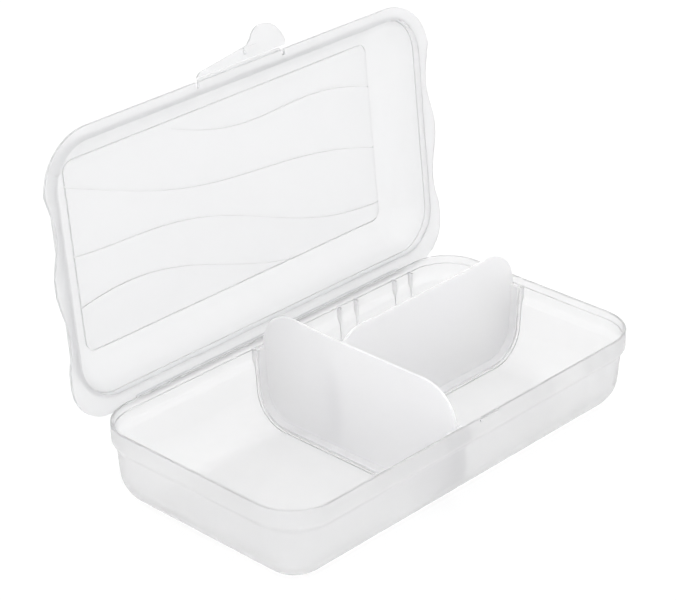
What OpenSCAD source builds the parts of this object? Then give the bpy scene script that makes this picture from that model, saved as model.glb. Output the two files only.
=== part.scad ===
// Hinged divider box in translucent polypropylene.
// Frame: origin at the centre of the tray's underside, +X along the long side, -Y at the
// latch side, +Y at the hinge side, +Z up. Millimetres. The lid is drawn open.

/* [Box] */
// Length of the rim along X
rim_length = 190; // [180:1:200]
// Width of the rim along Y
rim_width = 102; // [98:1:108]
// Height of the tray from underside to rim
tray_height = 33.8; // [33:0.2:36]
// Wall thickness of the tray and the lid
wall = 1.1; // [1:0.05:1.3]

/* [Lid] */
// Opening angle at which the lid is drawn
lid_open_angle = 95.75; // [60:0.25:130]
// Depth of the hollow inside the lid
lid_depth = 15.2; // [15.2:0.1:18]

/* [Dividers] */
// X of the cross divider
cross_x = -10.3; // [-14:0.1:-8]
// Y of the long divider
long_y = 12.4; // [0:0.1:14]
// How far the top edge of a divider stands above the rim
divider_rise = 13.2; // [12:0.1:13.2]

/* [Latch] */
// Backward tilt of the latch flap from the lid flange
latch_tilt = 20; // [0:1:40]

/* [Output] */
// Which node to draw, or all of them

/* [Hidden] */
eps = 0.01;
round_fn = 96;
half_x = rim_length / 2;
half_y = rim_width / 2;

// Tray section. x is measured from the axis of a plan corner, z from the underside.
rim_corner_r = 18;
lip_height = 6.5;
step_height = 4;
step_inset = 1.8;
draft_inset = 0.6;
outer_fillet_r = 15;
inner_fillet_r = 14;
seal_depth = 3;
seal_step = 0.5;
curve_parts = 6;
edge_break = 0.3;
rib_depth = 0.7;
rib_width = 0.8;
rib_offset = 4.65;
rib_top_drop = 2.6;
flange_width = 8;
floor_z = wall;

// Extra rib pairs on the front and back walls only
spare_pairs = [36.05, 67.65];
spare_pair_gap = 9.3;
spare_rib_bottom = 10;
long_rib_start = 0;

// Lid section. w is measured from the underside of the flange upward, lid closed.
lid_inset = 2.67;
lid_corner_r = 16;
flange_t = 1.2;
lid_step_w = 2.8;
lid_step = 0.5;
lid_top_t = 0.9;
lid_arc_r = 15.3;
lid_arc_x = lid_corner_r - lid_step
    - sqrt(pow(lid_arc_r, 2) - pow(lid_step_w - lid_depth + lid_arc_r, 2));
lid_step_run = 0.6;
lid_lift = 0.05;
lid_half_x = half_x - lid_inset;
lid_half_y = half_y - lid_inset;
lid_height = lid_depth + lid_top_t;

// Outline of the lid flange
front_reach = 2.3;
back_reach = 3.5;
front_edge_r = 22;
back_edge_r = 15.2;
front_side_x = half_x + 3.2;
back_side_x = half_x + 2.7;
wave_mean_x = half_x + 2;
wave_height = 1.7;
wave_length = 40;
wave_crest_y = 1;
wave_start_y = -33.5;
wave_end_y = 33.7;
wave_margin = 0.8;

// Hinge line
hinge_y = half_y + 1.4;
hinge_z = tray_height - 1.55;
hinge_half = 70;
hinge_bead_r = 0.45;
web_t = 0.5;

// Label panel inside the lid
label_half_x = 77.6;
label_front = -37;
label_back = 36;
label_corner_r = 4;
label_t = 0.6;
label_line_w = 0.5;
label_line_depth = 0.3;
groove_w = 0.6;

// Latch flap, drawn flat in the plane of the flange. d runs outward from its hinge line.
latch_t = 1.1;
latch_web_len = 0.8;
latch_hinge_y = -half_y - front_reach - latch_web_len;
latch_hinge_z = tray_height + flange_t / 2;
latch_left = -23;
latch_right = 18.6;
thumb_x = 13.8;
thumb_d = 2.4;
thumb_r = 8.4;
latch_bead_r = 0.3;
arm_end_run = 2;
arm_end_d = 2.1;
arm_bend_x = 4;
arm_bend_d = 5.2;
neck_run = 7;
neck_d = 7.2;
neck_foot_d = 6;
sweep_x = 2.6;
sweep_d = 10.2;
sweep_r = 5;
relief_w = 1.4;
relief_len = 3.2;
relief_gap = 0.8;
latch_gap = 0.6;
tooth_x = 1;
tooth_w = 6.3;
tooth_d = 2.3;
tooth_len = 2.4;
tooth_reach = 1.55;
catch_x = -1;
catch_w = 10;
catch_h = 0.9;
catch_reach = 0.6;
catch_drop = 0.3;
ledge_reach = 0.6;

// Divider
divider_t = 1;
divider_flange_t = 1.2;
divider_clear = 0.25;
tab_rise = 0.8;
tab_run = 18;
end_r = 15;
flange_drop = 2.3;
notch_clear = 0.4;
end_gap = 0.35;
// Half the rim length a long divider would need: its left end stops short of the cross divider
long_reach = (half_x - cross_x - divider_t / 2 - end_gap + step_inset + wall + divider_clear) / 2;

// ---------- shared shapes ----------

// Rounded plan outline
module plan(hx, hy, r) {
    square([2 * hx, 2 * (hy - r)], center = true);
    square([2 * (hx - r), 2 * hy], center = true);
    for (sx = [-1, 1], sy = [-1, 1])
        translate([sx * (hx - r), sy * (hy - r)]) circle(r, $fn = round_fn);
}

// Sweeps a half section round a rounded rectangle: cx, cy is the corner axis
module sweep(cx, cy, z0, z1) {
    translate([-cx, -cy, z0]) cube([2 * cx, 2 * cy, z1 - z0]);
    for (s = [[1, 1, 0], [-1, 1, 90], [-1, -1, 180], [1, -1, 270]])
        translate([s[0] * cx, s[1] * cy, 0]) rotate([0, 0, s[2]])
            rotate_extrude(angle = 90, $fn = round_fn) children();
    for (a = [0, 180]) rotate([0, 0, a]) {
        translate([cx, cy, 0]) rotate([90, 0, 0]) linear_extrude(2 * cy) children();
        translate([-cx, cy, 0]) rotate([90, 0, 90]) linear_extrude(2 * cx) children();
    }
}

// ---------- tray ----------

// Points of the soft S-curve between two points of a section
function s_curve(x0, z0, x1, z1) =
    [for (i = [0:curve_parts]) let (t = i / curve_parts)
        [x0 + (x1 - x0) * (1 - cos(180 * t)) / 2, z0 + (z1 - z0) * t]];

// Half section of the tray's outside
module tray_outer_section() {
    x_rim = rim_corner_r;
    x_wall = rim_corner_r - step_inset;
    x_low = x_wall - draft_inset;
    z_lip = tray_height - lip_height;
    intersection() {
        union() {
            polygon(concat([[0, 0], [x_low - outer_fillet_r, 0], [x_low, outer_fillet_r]],
                s_curve(x_wall, z_lip - step_height, x_rim, z_lip),
                [[x_rim, tray_height - edge_break], [x_rim - edge_break, tray_height],
                [0, tray_height]]));
            translate([x_low - outer_fillet_r, outer_fillet_r]) circle(outer_fillet_r, $fn = round_fn);
        }
        square([rim_corner_r * 2, tray_height]);
    }
}

// Half section of the hollow, drawn in by an inset
module hollow_section(inset) {
    x_lip = rim_corner_r - wall;
    x_wall = rim_corner_r - step_inset - wall - inset;
    x_low = x_wall - draft_inset;
    z_lip = tray_height - lip_height;
    z_seal = tray_height - seal_depth;
    r = inner_fillet_r - inset;
    intersection() {
        union() {
            polygon(concat([[0, floor_z + inset], [x_low - r, floor_z + inset],
                [x_low, floor_z + inset + r]],
                s_curve(x_wall, z_lip - step_height, x_lip - seal_step - inset, z_lip),
                [[x_lip - seal_step - inset, z_seal], [x_lip, z_seal + edge_break / 2],
                [x_lip, tray_height - edge_break], [x_lip + edge_break + 1, tray_height + 1],
                [0, tray_height + 1]]));
            translate([x_low - r, floor_z + inset + r]) circle(r, $fn = round_fn);
        }
        translate([0, floor_z + inset - eps]) square([rim_corner_r * 2, tray_height + 2]);
    }
}

// The hollow of the tray, drawn in by an inset
module hollow(inset) {
    sweep(half_x - rim_corner_r, half_y - rim_corner_r,
        floor_z + inset, tray_height + 1) hollow_section(inset);
}

// Half section of the hollow drawn in by an inset and run straight up past the rim
module straight_section(inset) {
    x_in = rim_corner_r - step_inset - wall - inset;
    x_low = x_in - draft_inset;
    r = inner_fillet_r - inset;
    z_low = floor_z + inset;
    intersection() {
        union() {
            polygon([[0, z_low], [x_low - r, z_low], [x_low, z_low + r],
                [x_in, tray_height - lip_height - step_height],
                [x_in, tray_height + 1], [0, tray_height + 1]]);
            translate([x_low - r, z_low + r]) circle(r, $fn = round_fn);
        }
        translate([0, z_low - eps]) square([rim_corner_r * 2, tray_height + 2]);
    }
}

// The space inside the guide ribs
module rib_clearing() {
    sweep(half_x - rim_corner_r, half_y - rim_corner_r, floor_z + rib_depth, tray_height + 1)
        straight_section(rib_depth);
}

// A guide rib running front to back at x, from a height up to just under the rim
module cross_rib(x, bottom) {
    translate([x - rib_width / 2, -half_y, bottom])
        cube([rib_width, 2 * half_y, tray_height - rib_top_drop - bottom]);
}

// A guide rib running from x_start to the right end wall at y
module long_rib(y, x_start) {
    translate([x_start, y - rib_width / 2, wall / 2])
        cube([half_x - x_start, rib_width, tray_height - rib_top_drop - wall / 2]);
}

// All guide ribs, trimmed to the lining of the hollow
module guide_ribs() {
    intersection() {
        tray_outer_body();
        difference() {
            for (s = [-1, 1]) {
                cross_rib(cross_x + s * rib_offset, wall / 2);
                long_rib(long_y + s * rib_offset, long_rib_start);
                for (p = spare_pairs) cross_rib(p + s * spare_pair_gap / 2, spare_rib_bottom);
            }
            rib_clearing();
        }
    }
}

// Small bead on the front of the rim that the latch tooth snaps under
module catch_bead() {
    translate([catch_x, -half_y - catch_reach, tray_height - catch_drop - catch_h])
        cube([catch_w, catch_reach + wall / 2, catch_h]);
}

// Short ledge on the back of the rim that carries the hinge web
module hinge_ledge() {
    translate([-hinge_half, half_y - wall / 2, hinge_z - web_t])
        cube([2 * hinge_half, wall / 2 + ledge_reach, 2 * web_t]);
}

module tray_outer_body() {
    sweep(half_x - rim_corner_r, half_y - rim_corner_r, 0, tray_height) tray_outer_section();
}

module tray() {
    color([0.93, 0.94, 0.95]) {
        difference() {
            tray_outer_body();
            hollow(0);
        }
        guide_ribs();
        catch_bead();
        hinge_ledge();
    }
}

// ---------- lid, drawn closed and then opened ----------

module opened() {
    translate([0, hinge_y, hinge_z]) rotate([-lid_open_angle, 0, 0])
        translate([0, -hinge_y, -hinge_z]) children();
}

// Half section of the lid's outside above the flange
module lid_outer_section() {
    x0 = lid_corner_r + wall;
    intersection() {
        union() {
            polygon([[0, 0], [x0, 0], [x0, lid_step_w - lid_step_run], [x0 - lid_step, lid_step_w],
                [0, lid_step_w]]);
            translate([lid_arc_x, lid_height - lid_arc_r - lid_top_t])
                circle(lid_arc_r + lid_top_t, $fn = round_fn);
            square([lid_arc_x, lid_height]);
        }
        square([2 * lid_corner_r, lid_height]);
    }
}

// Half section of the lid's hollow
module lid_inner_section() {
    translate([0, -1]) square([lid_corner_r, lid_step_w + 1]);
    intersection() {
        union() {
            translate([lid_arc_x, lid_depth - lid_arc_r]) circle(lid_arc_r, $fn = round_fn);
            square([lid_arc_x, lid_depth]);
        }
        square([2 * lid_corner_r, lid_depth]);
    }
}

module lid_outer_body() {
    sweep(lid_half_x - lid_corner_r, lid_half_y - lid_corner_r, 0, lid_height) lid_outer_section();
}

function arc(cx, cy, r, a0, a1, n) =
    [for (i = [0:n]) let (a = a0 + (a1 - a0) * i / n) [cx + r * cos(a), cy + r * sin(a)]];

// Right half of the flange outline, front to back
function flange_side() = concat(
    arc(front_side_x - front_edge_r, -half_y - front_reach + front_edge_r, front_edge_r, -90, -6, 16),
    [for (i = [0:24])
        let (y = wave_start_y + wave_margin + (wave_end_y - wave_start_y - 2 * wave_margin) * i / 24)
        [wave_mean_x + wave_height * cos((y - wave_crest_y) * 360 / wave_length), y]],
    arc(back_side_x - back_edge_r, half_y + back_reach - back_edge_r, back_edge_r, 0, 90, 12));

// Flange plate with wavy short sides and relief slots at the ends of the latch
module flange_plate() {
    side = flange_side();
    count = len(side);
    outline = concat(side, [for (i = [0:count - 1]) [-side[count - 1 - i][0], side[count - 1 - i][1]]]);
    linear_extrude(flange_t) difference() {
        polygon(outline);
        for (x = [latch_left - relief_w + relief_gap / 4, latch_right + relief_gap])
            translate([x, -half_y - front_reach - 1]) square([relief_w, relief_len]);
    }
}

// A flowing groove across the label panel
function flow(x, at, slope, swing, shift, period) =
    at + slope * x + swing * sin(360 * (x - shift) / period);

module flow_groove(x0, x1, at, slope, swing, shift, period) {
    n = 28;
    polygon(concat(
        [for (i = [0:n]) let (x = x0 + (x1 - x0) * i / n)
            [x, flow(x, at, slope, swing, shift, period) - groove_w / 2]],
        [for (i = [n:-1:0]) let (x = x0 + (x1 - x0) * i / n)
            [x, flow(x, at, slope, swing, shift, period) + groove_w / 2]]));
}

// Raised label panel with four flowing grooves
module label_panel() {
    intersection() {
        lid_outer_body();
        translate([0, 0, lid_depth - label_t]) linear_extrude(label_t + lid_top_t / 2) difference() {
            translate([0, (label_front + label_back) / 2])
                plan(label_half_x, (label_back - label_front) / 2, label_corner_r);
            flow_groove(-26, label_half_x, -30.75, 0.18, 4.3, -31.2, 121.6);
            flow_groove(-label_half_x, label_half_x, -8.8, 0.23, 4.1, -67.8, 170);
            flow_groove(-label_half_x, label_half_x, 11.2, 0.21, 4, 16.1, 140.5);
            flow_groove(-label_half_x, 26.5, 26.7, 0.06, 7.8, -6.3, 170);
        }
    }
}

// Thin line sunk into the lid round the label panel
module label_line() {
    front_to_back = (label_back - label_front) / 2;
    translate([0, (label_front + label_back) / 2, lid_depth - 1]) linear_extrude(1 + label_line_depth)
        difference() {
            plan(label_half_x + label_line_w, front_to_back + label_line_w, label_corner_r + label_line_w);
            plan(label_half_x, front_to_back, label_corner_r);
        }
}

module lid() {
    color([0.94, 0.95, 0.96])
    opened() translate([0, 0, tray_height + lid_lift]) {
        difference() {
            union() {
                flange_plate();
                lid_outer_body();
            }
            sweep(lid_half_x - lid_corner_r, lid_half_y - lid_corner_r, -1, lid_depth)
                lid_inner_section();
            label_line();
        }
        label_panel();
    }
}

// ---------- hinge web ----------

// Bead on the hinge axis and the thin strip that rises to the lid flange
module hinge_web() {
    top = tray_height + lid_lift;
    color([0.88, 0.9, 0.92]) opened() {
        translate([-hinge_half, hinge_y, hinge_z]) rotate([0, 90, 0])
            cylinder(h = 2 * hinge_half, r = hinge_bead_r, $fn = 32);
        translate([-hinge_half, hinge_y - web_t / 2, hinge_z])
            cube([2 * hinge_half, web_t, top - hinge_z]);
    }
}

// ---------- latch ----------

// Moves a shape drawn in the flange plane, d outward along +Y, to the latch hinge line
module latch_place() {
    opened() translate([0, latch_hinge_y, latch_hinge_z + lid_lift])
        rotate([-latch_tilt, 0, 0]) mirror([0, 1, 0]) children();
}

// Flap outline: a slim arm that sweeps into a round thumb tab
module flap_outline() {
    difference() {
        union() {
            polygon([[latch_left, latch_gap], [latch_left + arm_end_run, arm_end_d],
                [arm_bend_x, arm_bend_d], [thumb_x - neck_run, neck_d],
                [thumb_x, neck_foot_d], [latch_right, latch_gap]]);
            translate([thumb_x, thumb_d]) circle(thumb_r, $fn = round_fn);
        }
        translate([latch_left, latch_gap - thumb_r]) square([thumb_x + thumb_r - latch_left, thumb_r]);
        translate([sweep_x, sweep_d]) circle(sweep_r, $fn = round_fn);
        translate([latch_right, latch_gap]) rotate(-45) translate([0, -thumb_r]) square(thumb_r);
    }
}

// Flap plate with its hook tooth
module latch() {
    color([0.95, 0.96, 0.97]) latch_place() {
        translate([0, 0, -latch_t / 2]) linear_extrude(latch_t) flap_outline();
        translate([tooth_x, tooth_d, -latch_t / 2 - tooth_reach])
            cube([tooth_w, tooth_len, tooth_reach + latch_t / 2]);
    }
}

// Bead on the latch hinge axis and the thin strip into the lid flange
module latch_web() {
    color([0.88, 0.9, 0.92]) opened()
        translate([0, latch_hinge_y, latch_hinge_z + lid_lift]) {
            translate([latch_left, 0, 0]) rotate([0, 90, 0])
                cylinder(h = latch_right - latch_left, r = latch_bead_r, $fn = 32);
            translate([latch_left, 0, -web_t / 2])
                cube([latch_right - latch_left, latch_web_len, web_t]);
        }
}

// ---------- dividers ----------

// Full section of the seat of a divider whose rim would be 2 * reach long
module seat(reach, inset) {
    z_low = floor_z + inset;
    intersection() {
        union() {
            translate([-reach + rim_corner_r, z_low])
                square([2 * (reach - rim_corner_r), tray_height - z_low]);
            for (m = [0, 1]) mirror([m, 0]) translate([reach - rim_corner_r, 0])
                straight_section(inset);
        }
        translate([-reach, 0]) square([2 * reach, tray_height]);
    }
}

// The part of the panel that stands above the rim: bowed at one end, a tab at the other
module crest(reach) {
    e = reach - step_inset - wall - divider_clear;
    z = tray_height;
    intersection() {
        union() {
            translate([-e + end_r, z - 1]) square([2 * (e - end_r), divider_rise + 1]);
            translate([-e + end_r, z + divider_rise - end_r]) circle(end_r, $fn = round_fn);
            translate([e - end_r, z + divider_rise + tab_rise - end_r]) circle(end_r, $fn = round_fn);
            polygon([[e - end_r - tab_run, z], [e - end_r - tab_run, z + divider_rise],
                [e - end_r, z + divider_rise + tab_rise], [e - end_r, z]]);
        }
        translate([-e, z - eps]) square([2 * e, divider_rise + tab_rise + 1]);
    }
}

// A divider along X, tab at the +X end, with the T-flange round its seated edge
module divider(reach) {
    rotate([90, 0, 0]) {
        translate([0, 0, -divider_t / 2]) linear_extrude(divider_t) {
            seat(reach, divider_clear);
            crest(reach);
        }
        translate([0, 0, -flange_width / 2]) linear_extrude(flange_width) difference() {
            seat(reach, divider_clear);
            translate([0, eps]) seat(reach, divider_clear + divider_flange_t);
            translate([-reach, tray_height - flange_drop]) square([2 * reach, flange_drop + 1]);
        }
    }
}

// Notch in the foot flange, so that the panel lifts out past the end of the long divider
module foot_notch() {
    reach = flange_width / 2 + notch_clear;
    translate([cross_x + divider_t / 2, long_y - reach, 0])
        cube([flange_width, 2 * reach, tray_height / 2]);
}

module cross_divider() {
    color([0.9, 0.91, 0.95]) difference() {
        translate([cross_x, 0, 0]) rotate([0, 0, 90]) divider(half_y);
        foot_notch();
    }
}

module long_divider() {
    color([0.9, 0.91, 0.95]) translate([half_x - long_reach, long_y, 0]) divider(long_reach);
}

// ---------- output ----------

tray();
lid();
hinge_web();
latch();
latch_web();
cross_divider();
long_divider();
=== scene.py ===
import math

import bpy
from mathutils import Matrix, Vector


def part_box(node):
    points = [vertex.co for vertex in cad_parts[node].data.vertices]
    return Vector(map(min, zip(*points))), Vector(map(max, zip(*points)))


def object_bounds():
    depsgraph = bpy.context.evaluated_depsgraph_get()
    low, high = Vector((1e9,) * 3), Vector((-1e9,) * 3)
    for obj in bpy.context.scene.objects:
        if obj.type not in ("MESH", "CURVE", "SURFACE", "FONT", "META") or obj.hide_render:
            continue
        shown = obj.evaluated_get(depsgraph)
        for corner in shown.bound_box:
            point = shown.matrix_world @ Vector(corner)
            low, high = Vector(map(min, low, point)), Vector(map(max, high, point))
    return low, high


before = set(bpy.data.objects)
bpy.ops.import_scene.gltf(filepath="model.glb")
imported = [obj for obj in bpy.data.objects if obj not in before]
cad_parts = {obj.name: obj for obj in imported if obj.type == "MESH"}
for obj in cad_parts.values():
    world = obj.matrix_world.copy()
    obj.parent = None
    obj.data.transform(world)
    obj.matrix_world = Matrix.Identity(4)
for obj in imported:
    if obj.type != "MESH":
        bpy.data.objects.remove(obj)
cad_low, cad_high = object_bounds()
tray_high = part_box("tray")[1]

# Optics of the plastic
PLASTIC_IOR = 1.49
SHARP_ROUGHNESS = 0.2
SATIN_SWING = 0.015
GRAIN_DEPTH = 0.00001
WHITE = (1, 1, 1, 1)


# ---------- node helpers ----------

def add(tree, kind, **inputs):
    """A new node of a kind, with values for its inputs. Underscores in a name stand for spaces."""
    made = tree.nodes.new(kind)
    for name, value in inputs.items():
        made.inputs[name.replace("_", " ")].default_value = value
    return made


def feed(tree, source, target, socket, output=0):
    """Links one node's output to a socket of another, which it returns."""
    tree.links.new(source.outputs[output], target.inputs[socket])
    return target


def noise(tree, place, scale, detail=2.0, rough=0.5, stretch=(1, 1, 1)):
    """Noise at a scale, in cells per metre, stretched along the axes of the frame."""
    mapping = add(tree, "ShaderNodeMapping", Scale=stretch)
    feed(tree, place, mapping, "Vector", "Object")
    made = add(tree, "ShaderNodeTexNoise", Scale=scale, Detail=detail, Roughness=rough)
    return feed(tree, mapping, made, "Vector")


def remap(tree, source, low, high, to_low, to_high, output=0):
    """Maps the range low..high of a node's output onto to_low..to_high."""
    made = tree.nodes.new("ShaderNodeMapRange")
    for name, value in zip(("From Min", "From Max", "To Min", "To Max"), (low, high, to_low, to_high)):
        made.inputs[name].default_value = value
    return feed(tree, source, made, "Value", output)


def combine(tree, operation, first, second):
    """Joins two values with a math operation."""
    made = tree.nodes.new("ShaderNodeMath")
    made.operation = operation
    feed(tree, first, made, 0)
    return feed(tree, second, made, 1)


def bump(tree, height, distance, strength, below=None):
    """Relief from a height, on top of an earlier relief if there is one."""
    made = add(tree, "ShaderNodeBump", Distance=distance, Strength=strength)
    feed(tree, height, made, "Height")
    if below is not None:
        feed(tree, below, made, "Normal")
    return made


# ---------- materials ----------

def polypropylene(name, pale, dense, clear, milk, sharp, rough, absorb, scuff, wave):
    """Milky translucent plastic. pale and dense are its lightest and darkest colours, clear the
    share of its skin that lets light through, milk the share that scatters it on, sharp the share
    seen through with little haze, rough the roughness of its skin, absorb the darkening per metre
    inside the wall, scuff the added roughness of fine scratches, wave the height of its ripples."""
    material = bpy.data.materials.new(name)
    material.use_nodes = True
    tree = material.node_tree
    tree.nodes.clear()
    place = tree.nodes.new("ShaderNodeTexCoord")

    clouds = noise(tree, place, scale=24, detail=3)
    grain = noise(tree, place, scale=1500, rough=0.6)
    flow_marks = noise(tree, place, scale=30, detail=4, rough=0.6, stretch=(0.25, 1, 1))
    hairlines = noise(tree, place, scale=260, detail=1, rough=0.4, stretch=(0.04, 1, 1.6))

    tint = tree.nodes.new("ShaderNodeValToRGB")
    tint.color_ramp.elements[0].position = 0.3
    tint.color_ramp.elements[1].position = 0.7
    tint.color_ramp.elements[0].color = (*dense, 1)
    tint.color_ramp.elements[1].color = (*pale, 1)
    feed(tree, clouds, tint, "Fac")

    # Only the peaks of the hairline noise count as scratches
    worn = remap(tree, hairlines, 0.66, 0.74, 0, scuff)
    mottle = combine(tree, "ADD", grain, flow_marks)
    satin = remap(tree, mottle, 0.7, 1.3, rough - SATIN_SWING, rough + SATIN_SWING)
    roughness = combine(tree, "ADD", satin, worn)

    ripples = bump(tree, flow_marks, wave, 0.5)
    surface_grain = bump(tree, grain, GRAIN_DEPTH, 0.35, ripples)

    plastic = add(tree, "ShaderNodeBsdfPrincipled", IOR=PLASTIC_IOR)
    plastic.inputs["Transmission Weight"].default_value = clear
    feed(tree, tint, plastic, "Base Color")
    feed(tree, roughness, plastic, "Roughness")
    feed(tree, surface_grain, plastic, "Normal")

    lens = add(tree, "ShaderNodeBsdfGlass", IOR=PLASTIC_IOR, Roughness=SHARP_ROUGHNESS)
    feed(tree, tint, lens, "Color")
    feed(tree, surface_grain, lens, "Normal")
    haze = add(tree, "ShaderNodeMixShader", Fac=sharp)
    tree.links.new(plastic.outputs[0], haze.inputs[1])
    tree.links.new(lens.outputs[0], haze.inputs[2])

    glow = tree.nodes.new("ShaderNodeBsdfTranslucent")
    feed(tree, tint, glow, "Color")
    feed(tree, surface_grain, glow, "Normal")

    blend = tree.nodes.new("ShaderNodeMixShader")
    feed(tree, remap(tree, clouds, 0.3, 0.7, milk * 0.7, milk * 1.3), blend, "Fac")
    tree.links.new(haze.outputs[0], blend.inputs[1])
    tree.links.new(glow.outputs[0], blend.inputs[2])

    body = add(tree, "ShaderNodeVolumeAbsorption", Color=(0.49, 0.5, 0.53, 1), Density=2 * absorb)
    output = tree.nodes.new("ShaderNodeOutputMaterial")
    feed(tree, blend, output, "Surface")
    feed(tree, body, output, "Volume")
    return material


def dress_nodes():
    """Gives every CAD node its finish."""
    finishes = {
        "tray": polypropylene("tray_pp", pale=(0.999, 0.998, 1.0), dense=(0.993, 0.993, 0.996),
                              clear=0.88, milk=0.1, sharp=0.5, rough=0.31, absorb=9,
                              scuff=0.01, wave=0.00002),
        "lid": polypropylene("lid_pp", pale=(0.968, 0.969, 0.973), dense=(0.955, 0.956, 0.961),
                             clear=0.88, milk=0.17, sharp=0.15, rough=0.32, absorb=10,
                             scuff=0.04, wave=0.00006),
        "web": polypropylene("web_pp", pale=(0.99, 0.991, 0.993), dense=(0.98, 0.982, 0.985),
                             clear=0.7, milk=0.2, sharp=0.0, rough=0.36, absorb=6,
                             scuff=0.04, wave=0.00006),
        "divider": polypropylene("divider_pp", pale=(0.999, 0.998, 1.0), dense=(0.994, 0.992, 1.0),
                                 clear=0.4, milk=0.3, sharp=0.0, rough=0.45, absorb=2,
                                 scuff=0.04, wave=0.0001),
    }
    uses = {"tray": "tray", "lid": "lid", "latch": "lid", "hinge_web": "web", "latch_web": "web",
            "cross_divider": "divider", "long_divider": "divider"}
    for name, finish in uses.items():
        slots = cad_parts[name].data.materials
        slots.clear()
        slots.append(finishes[finish])


# ---------- studio ----------

def floor():
    """A plain white floor just under the tray, luminous enough to hide most of its shadow."""
    size, gap = 8.0, 0.0002
    bpy.ops.mesh.primitive_plane_add(size=size, location=(0, 0, cad_low.z - gap))
    plane = bpy.context.object
    plane.name = "floor"
    material = bpy.data.materials.new("floor_white")
    material.use_nodes = True
    paint = material.node_tree.nodes["Principled BSDF"]
    paint.inputs["Base Color"].default_value = (0.15, 0.15, 0.15, 1)
    paint.inputs["Roughness"].default_value = 0.9
    paint.inputs["Specular IOR Level"].default_value = 0.1
    paint.inputs["Emission Color"].default_value = WHITE
    paint.inputs["Emission Strength"].default_value = 0.86
    plane.data.materials.append(material)


def studio_world():
    """Soft white surroundings, bright on the camera's side and darker behind the box."""
    world = bpy.data.worlds.new("studio")
    bpy.context.scene.world = world
    world.use_nodes = True
    tree = world.node_tree
    direction = tree.nodes.new("ShaderNodeTexCoord")
    toward = tree.nodes.new("ShaderNodeVectorMath")
    toward.operation = "DOT_PRODUCT"
    toward.inputs[1].default_value = (0.85, 0.53, 0)
    feed(tree, direction, toward, 0, "Generated")
    near_strength, far_strength = 1.35, 0.8
    shade = remap(tree, toward, -0.7, 0.8, near_strength, far_strength, output=1)
    shade.interpolation_type = "SMOOTHSTEP"
    background = tree.nodes["Background"]
    background.inputs["Color"].default_value = WHITE
    feed(tree, shade, background, "Strength")


def soft_box(name, place, aim, size, power):
    """A wide lamp at a place, turned toward a point."""
    light = bpy.data.lights.new(name, "AREA")
    light.shape = "RECTANGLE"
    light.size, light.size_y = size
    light.energy = power
    lamp = bpy.data.objects.new(name, light)
    bpy.context.scene.collection.objects.link(lamp)
    lamp.location = place
    lamp.rotation_euler = (Vector(aim) - Vector(place)).to_track_quat("-Z", "Y").to_euler()


def camera():
    """A long lens over the front left corner, a little rolled."""
    azimuth, elevation, roll = math.radians(45.98), math.radians(27.0), math.radians(-0.87)
    distance, lens = 0.9125, 132.46
    aim = Vector((-0.0009, 0.0181, tray_high.z + 0.0234))
    ahead = Vector((math.sin(azimuth) * math.cos(elevation), math.cos(azimuth) * math.cos(elevation),
                    -math.sin(elevation)))
    level = Vector((math.cos(azimuth), -math.sin(azimuth), 0))
    upright = level.cross(ahead)
    right = math.cos(roll) * level + math.sin(roll) * upright
    up = right.cross(ahead)
    data = bpy.data.cameras.new("camera")
    data.lens = lens
    data.clip_start, data.clip_end = 0.05, 20
    made = bpy.data.objects.new("camera", data)
    bpy.context.scene.collection.objects.link(made)
    turn = Matrix((right, up, -ahead)).transposed()
    made.matrix_world = Matrix.Translation(aim - distance * ahead) @ turn.to_4x4()
    bpy.context.scene.camera = made


dress_nodes()
floor()
studio_world()
soft_box("overhead", (0.2, 0.3, 1.3), (0, 0, 0), (1.4, 1.0), 5)
camera()

# Light passes through many thin walls here, so it needs many bounces
scene = bpy.context.scene
scene.view_settings.view_transform = "Standard"
scene.view_settings.look = "None"
scene.cycles.max_bounces = 40
scene.cycles.transmission_bounces = 40
scene.cycles.transparent_max_bounces = 24
scene.cycles.diffuse_bounces = 20
scene.cycles.glossy_bounces = 24
